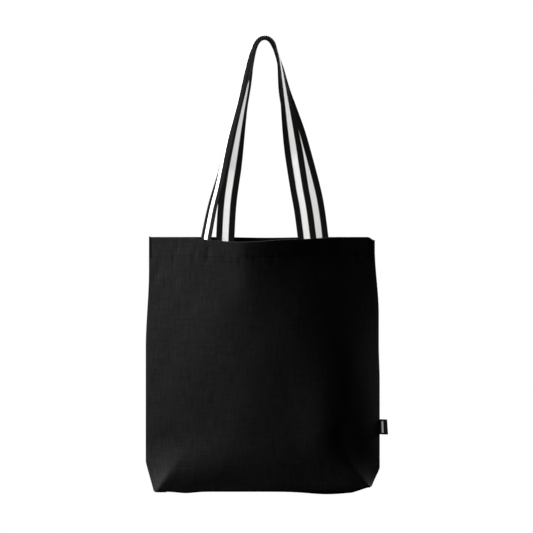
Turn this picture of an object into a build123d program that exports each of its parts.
"""Canvas tote bag: two canvas panels with boxed bottom corners, two striped webbing handles, a side label.

Millimetres, +Z up, -Y is the front. The origin is the middle of the flat base. The bag is shown open and
empty, with both handles standing up as they do when they hang over a peg.
"""
from build123d import *
import math
import os

# cloth
CANVAS = 1.0  # canvas thickness
HEM_THICK = 2.6  # canvas with its two turned-in layers
HEM_DEPTH = 32.0
SEAM_GAP = 0.05  # between the two panels along every seam

# bag body
RIM_Z = 414.0
BASE_HALF = 176.0  # half the base's length
BASE_DEPTH = 40.0
CORNER_R = 8.0  # radius of the box's upright corners
SHAPE_POWER = 1.8  # 2 is a parabola, 1 a straight fold at the ridge
RIDGE_X = {"front": -18.0, "back": 27.0}  # where each panel stands out furthest
SIDE = {"front": -1, "back": 1}  # the sign of Y on each side

# height, half the width, how far the front and the back stand out, and how square the section is
STATIONS = [
    (0.0, 176.0, 20.0, 20.0, 1.0),
    (16.0, 184.0, 21.0, 21.0, 0.86),
    (45.0, 190.0, 24.0, 23.0, 0.42),
    (95.0, 190.5, 29.0, 27.0, 0.0),
    (200.0, 190.0, 35.0, 31.0, 0.0),
    (310.0, 187.5, 40.0, 34.0, 0.0),
    (RIM_Z - HEM_DEPTH, 184.5, 43.0, 36.0, 0.0),
    (RIM_Z, 184.0, 44.0, 37.0, 0.0),
]

# webbing handles
STRAP_WIDTH = 30.0
STRAP_THICK = 1.8
LEG_SPACING = 160.0
HANDLE_X = {"front": -10.0, "back": 15.0}
ARCH_X = 3.0
ARCH_R = 21.0  # to the middle of the webbing
ARCH_TOP = 742.0
ARCH_Y = 15.8  # the two arches lie side by side over the peg
STRAP_GAP = 0.3  # between the webbing and the hem
SEWN_TOP = 0.5  # the sewn ends stop this far above the rim
LOOP_START = 0.9  # and the loop's cut ends start here
SEWN_LENGTH = 30.0  # webbing sewn inside the hem
FOLD_ROOM = 1.2  # extra room for the webbing when it is folded down over the hem
LEG_SHARES = (0, 0.06, 0.2, 0.35, 0.5, 0.65, 0.8, 0.92, 1)  # stations along a leg
TURN_START = 0.04  # share of a leg that stays flat before it turns
ARCH_STEPS = 10

# thread
THREAD = 0.5
BOX_WIDTH = 24.0  # stitched box that holds each webbing end
BOX_HEIGHT = 22.0
BOX_BELOW_RIM = 6.0
HEM_ROW_Z = RIM_Z - HEM_DEPTH + 1.6

# seam allowances inside the bag, two layers of canvas with overlocked edges
ALLOWANCE = 10.0
ALLOWANCE_THICK = 2.0
SIDE_INSET = 5.0  # from the bag's side edge to the thin outer edge of a side seam's allowance
CORNER_INSET = 2.2  # from the end of the base to a corner seam's allowance
BASE_INSET = 6.0  # from the end of the base to the end of the bottom seam

# side label, a folded woven ribbon in the right side seam
LABEL_OUT = 13.0
LABEL_Z = (93.5, 119.0)
LABEL_THICK = 1.2
LABEL_GAP = 0.5


def station(z):
    """Half width, front depth, back depth and squareness at a height, between the two nearest stations."""
    for low, high in zip(STATIONS, STATIONS[1:]):
        if z <= high[0]:
            break
    share = (z - low[0]) / (high[0] - low[0])
    return [a + (b - a) * share for a, b in zip(low[1:], high[1:])]


def box_half(inset):
    """Right half of the base's outline from its middle to the side seam, as (x, depth) pairs."""
    flat = BASE_HALF - CORNER_R
    radius = CORNER_R - inset
    points = [(flat * share, BASE_DEPTH / 2 - inset) for share in (0, 0.35, 0.65, 0.85, 0.96, 1)]
    for turn in (30, 60, 90):
        angle = math.radians(turn)
        x = flat + radius * math.sin(angle)
        points.append((x, BASE_DEPTH / 2 - CORNER_R + radius * math.cos(angle)))
    side = BASE_DEPTH / 2 - CORNER_R
    return points + [(BASE_HALF - inset, side / 2), (BASE_HALF - inset, 0)]


def panel_curve(name, z, inset):
    """A panel's plan curve at a height, from the left seam to the right one, inset from its outer face.

    Each point is a mix of one on the boxed base's outline and one on a bulging curve between the seams.
    """
    half, front, back, square = station(z)
    depth = front if name == "front" else back
    ridge = RIDGE_X[name]
    box = box_half(inset)
    run = [x + BASE_DEPTH / 2 - inset - y for x, y in box]
    points = []
    for sign in (-1, 1):
        reach = half - sign * ridge
        slope = SHAPE_POWER * depth / reach
        tip = half - inset * math.sqrt(1 + slope**2) / slope
        side = []
        for (box_x, box_y), along in zip(box, run):
            x = sign * tip * along / run[-1]
            beyond = sign * (x - ridge)
            room = tip - sign * ridge if beyond > 0 else half + abs(ridge)
            y = (depth - inset) * (1 - (abs(beyond) / room) ** SHAPE_POWER)
            side.append((square * sign * box_x + (1 - square) * x, square * box_y + (1 - square) * y))
        points.append(side)
    whole = points[0][:0:-1] + points[1]
    return [(x, SIDE[name] * (max(y, 0) + SEAM_GAP)) for x, y in whole]


def band(name, z, outer, inner):
    """Closed wire round a panel's thickness at a height, between two insets."""
    out = [(x, y, z) for x, y in panel_curve(name, z, outer)]
    back = [(x, y, z) for x, y in panel_curve(name, z, inner)][::-1]
    return Wire([Spline(out), Line(out[-1], back[0]), Spline(back), Line(back[-1], out[0])])


def panel(name):
    """Front or back canvas: wall, turned-in hem and half of the base, one piece of cloth."""
    wall_z = [row[0] for row in STATIONS if row[0] <= RIM_Z - HEM_DEPTH]
    wall = Solid.make_loft([band(name, z, 0, CANVAS) for z in wall_z], ruled=True)
    hem = Solid.make_loft([band(name, z, 0, HEM_THICK) for z in (RIM_Z - HEM_DEPTH, RIM_Z)], ruled=True)
    curve = [(x, y, 0) for x, y in panel_curve(name, 0, CANVAS / 2)]
    plate = extrude(Face(Wire([Spline(curve), Line(curve[-1], curve[0])])), CANVAS, (0, 0, 1))
    return wall + hem + plate


def leg_xs(name):
    """X of the left and right leg of a handle where they pass the rim."""
    return [HANDLE_X[name] - LEG_SPACING / 2, HANDLE_X[name] + LEG_SPACING / 2]


def wall_y(name, x, z, inset):
    """How far from the seam plane a panel's face is at a place, and its slope dy/dx there."""
    curve = sorted((px, abs(py)) for px, py in panel_curve(name, z, inset))
    for (x0, y0), (x1, y1) in zip(curve, curve[1:]):
        if x <= x1:
            break
    slope = (y1 - y0) / (x1 - x0)
    return y0 + slope * (x - x0), slope


def strap_plane(name):
    """Distance of the webbing's middle from the seam plane where the loop leaves the rim."""
    inner = min(wall_y(name, x, RIM_Z, HEM_THICK)[0] for x in leg_xs(name))
    return inner - STRAP_GAP - STRAP_THICK / 2


def hinge_y(name):
    """Distance of a handle's hinge line from the seam plane, so that the webbing folds down clear of the hem."""
    edges = [x + step for x in leg_xs(name) for step in (-STRAP_WIDTH / 2, STRAP_WIDTH / 2)]
    outermost = max(wall_y(name, x, RIM_Z, 0)[0] for x in edges)
    return (strap_plane(name) + outermost + STRAP_GAP + STRAP_THICK / 2 + FOLD_ROOM) / 2


def handle_path(name):
    """Stations along a handle from its left leg to its right one: (x, z, direction, turn).

    The direction is in the XZ plane, in degrees from +X. The turn goes from 0, flat against the panel,
    to 1, flat over the peg. Straight legs run tangent into the arch.
    """
    start = RIM_Z + LOOP_START
    centre = ARCH_TOP - STRAP_THICK / 2 - ARCH_R
    stations = []
    for sign, x in zip((-1, 1), leg_xs(name)):
        across, up = abs(x - ARCH_X), centre - start
        lean = math.atan2(across, up) - math.asin(ARCH_R / math.hypot(across, up))
        end_x = ARCH_X + sign * ARCH_R * math.cos(lean)
        end_z = centre + ARCH_R * math.sin(lean)
        angle = 90 - math.degrees(lean) if sign < 0 else math.degrees(lean) - 90
        leg = []
        for share in LEG_SHARES:
            soft = max(0, (share - TURN_START) / (1 - TURN_START))
            place = (x + (end_x - x) * share, start + (end_z - start) * share)
            leg.append((*place, angle, soft * soft * (3 - 2 * soft)))
        stations.append(leg)
    first, last = stations[0][-1][2], stations[1][-1][2]
    arch = []
    for k in range(1, ARCH_STEPS):
        angle = first + (last - first) * k / ARCH_STEPS
        normal = math.radians(angle + 90)
        arch.append((ARCH_X + ARCH_R * math.cos(normal), centre + ARCH_R * math.sin(normal), angle, 1))
    return stations[0] + arch + stations[1][::-1]


def handle(name):
    """A webbing loop above the rim: a flat strap that turns a quarter on each leg."""
    side = SIDE[name]
    base = strap_plane(name)
    sections = []
    for x, z, angle, turn in handle_path(name):
        share = (z - RIM_Z) / (ARCH_TOP - RIM_Z)
        place = Vector(x, side * (base + (ARCH_Y - base) * share), z)
        run = math.radians(angle)
        along = Vector(math.cos(run), 0, math.sin(run))
        outward = Vector(-math.sin(run), 0, math.cos(run))
        away = Vector(0, side, 0)
        face = away * math.cos(turn * math.pi / 2) + outward * math.sin(turn * math.pi / 2)
        across = along.cross(face).normalized() * (STRAP_WIDTH / 2)
        if turn == 0:
            across = Vector(math.copysign(abs(across), across.X), 0, 0)
        thick = face.normalized() * (STRAP_THICK / 2)
        corners = [place + across + thick, place - across + thick, place - across - thick]
        sections.append(Wire.make_polygon([*corners, place + across - thick], close=True))
    return Solid.make_loft(sections, ruled=True)


def strap_end(name, x):
    """The end of a handle's webbing, sewn inside the hem and turned to lie flat along it."""
    top = RIM_Z + SEWN_TOP
    levels = (top - SEWN_LENGTH, RIM_Z)
    slope = wall_y(name, x, levels[0], HEM_THICK)[1]
    steps = (-STRAP_WIDTH / 2, 0, STRAP_WIDTH / 2)
    y = min(wall_y(name, x + step, z, HEM_THICK)[0] - slope * step for step in steps for z in levels)
    y = SIDE[name] * (y - STRAP_GAP - STRAP_THICK / 2)
    turn = math.degrees(math.atan(slope)) * SIDE[name]
    return Pos(x, y, top - SEWN_LENGTH / 2) * Rot(0, 0, turn) * Box(STRAP_WIDTH, STRAP_THICK, SEWN_LENGTH)


def box_stitching(name, x):
    """Thread through hem and webbing: a box with a cross in it."""
    outer, slope = wall_y(name, x, RIM_Z - BOX_BELOW_RIM - BOX_HEIGHT / 2, 0)
    depth = HEM_THICK + STRAP_GAP + STRAP_THICK + 2 * THREAD
    middle = SIDE[name] * (outer + THREAD - depth / 2)
    frame = Box(BOX_WIDTH, depth, BOX_HEIGHT) - Box(BOX_WIDTH - 2 * THREAD, depth, BOX_HEIGHT - 2 * THREAD)
    diagonal = math.degrees(math.atan2(BOX_HEIGHT, BOX_WIDTH))
    length = math.hypot(BOX_WIDTH, BOX_HEIGHT) - 2 * THREAD
    cross = [Rot(0, turn, 0) * Box(length, depth, THREAD) for turn in (diagonal, -diagonal)]
    turn = math.degrees(math.atan(slope)) * SIDE[name]
    place = Pos(x, middle, RIM_Z - BOX_BELOW_RIM - BOX_HEIGHT / 2) * Rot(0, 0, turn)
    return place * (frame + cross[0] + cross[1])


def hem_stitching(name):
    """One row of thread along the foot of a hem, half sunk in the canvas."""
    row = Face(band(name, HEM_ROW_Z, -THREAD / 2, THREAD / 2))
    return extrude(row, THREAD, (0, 0, 1))


def side_seam(sign):
    """Allowance inside a side seam: a wedge that thickens from the seam to its overlocked edge."""
    sections = []
    for z in (95, 200, 310, RIM_Z - HEM_DEPTH - 1):
        outer = station(z)[0] - SIDE_INSET
        half = ALLOWANCE_THICK / 2
        shape = [(outer, 0), (outer - 4, half - 0.1), (outer - ALLOWANCE - 2, half)]
        shape += [(x, -y) for x, y in shape[:0:-1]]
        sections.append(Wire.make_polygon([(sign * x, y, z) for x, y in shape], close=True))
    return Solid.make_loft(sections, ruled=True)


def bottom_seam():
    """The base's middle seam: its allowance lies flat on the base, towards the back."""
    length = 2 * (BASE_HALF - BASE_INSET)
    middle_z = CANVAS + SEAM_GAP + ALLOWANCE_THICK / 2
    return Pos(0, ALLOWANCE / 2, middle_z) * Box(length, ALLOWANCE, ALLOWANCE_THICK)


def corner_seam(sign):
    """The seam across a boxed bottom corner: its allowance stands against the end of the bag."""
    width = BASE_DEPTH - 2 * CORNER_R
    x = sign * (BASE_HALF - CORNER_INSET - ALLOWANCE_THICK / 2)
    return Pos(x, 0, CANVAS + SEAM_GAP + ALLOWANCE / 2) * Box(ALLOWANCE_THICK, width, ALLOWANCE)


def side_label():
    """A folded ribbon label: two layers that meet in a round outer fold."""
    low, high = LABEL_Z
    start = station((low + high) / 2)[0] + LABEL_GAP
    flat = LABEL_OUT - LABEL_THICK / 2
    strip = Pos(start + flat / 2, 0, (low + high) / 2) * Box(flat, LABEL_THICK, high - low)
    fold = Pos(start + flat, 0, (low + high) / 2) * Cylinder(LABEL_THICK / 2, high - low)
    return strip + fold


def parts():
    """Every piece by its name."""
    made = {}
    for name in SIDE:
        made[f"{name}_panel"] = panel(name)
        made[f"{name}_hem_stitching"] = hem_stitching(name)
        made[f"{name}_handle"] = handle(name)
        for hand, x in zip(("left", "right"), leg_xs(name)):
            made[f"{name}_handle_{hand}_end"] = strap_end(name, x)
            made[f"{name}_{hand}_box_stitching"] = box_stitching(name, x)
    for hand, sign in (("left", -1), ("right", 1)):
        made[f"{hand}_side_seam"] = side_seam(sign)
        made[f"{hand}_corner_seam"] = corner_seam(sign)
    made["bottom_seam"] = bottom_seam()
    made["side_label"] = side_label()
    return made


os.makedirs("parts", exist_ok=True)
for node, shape in parts().items():
    export_step(shape, f"parts/{node}.step")
for name in SIDE:
    print(name, "handle legs", leg_xs(name), "webbing at", round(SIDE[name] * strap_plane(name), 2))
    print(name, "handle's hinge at y", round(SIDE[name] * hinge_y(name), 2), "z", RIM_Z)
print("label's hinge at x", round(station(sum(LABEL_Z) / 2)[0], 2))
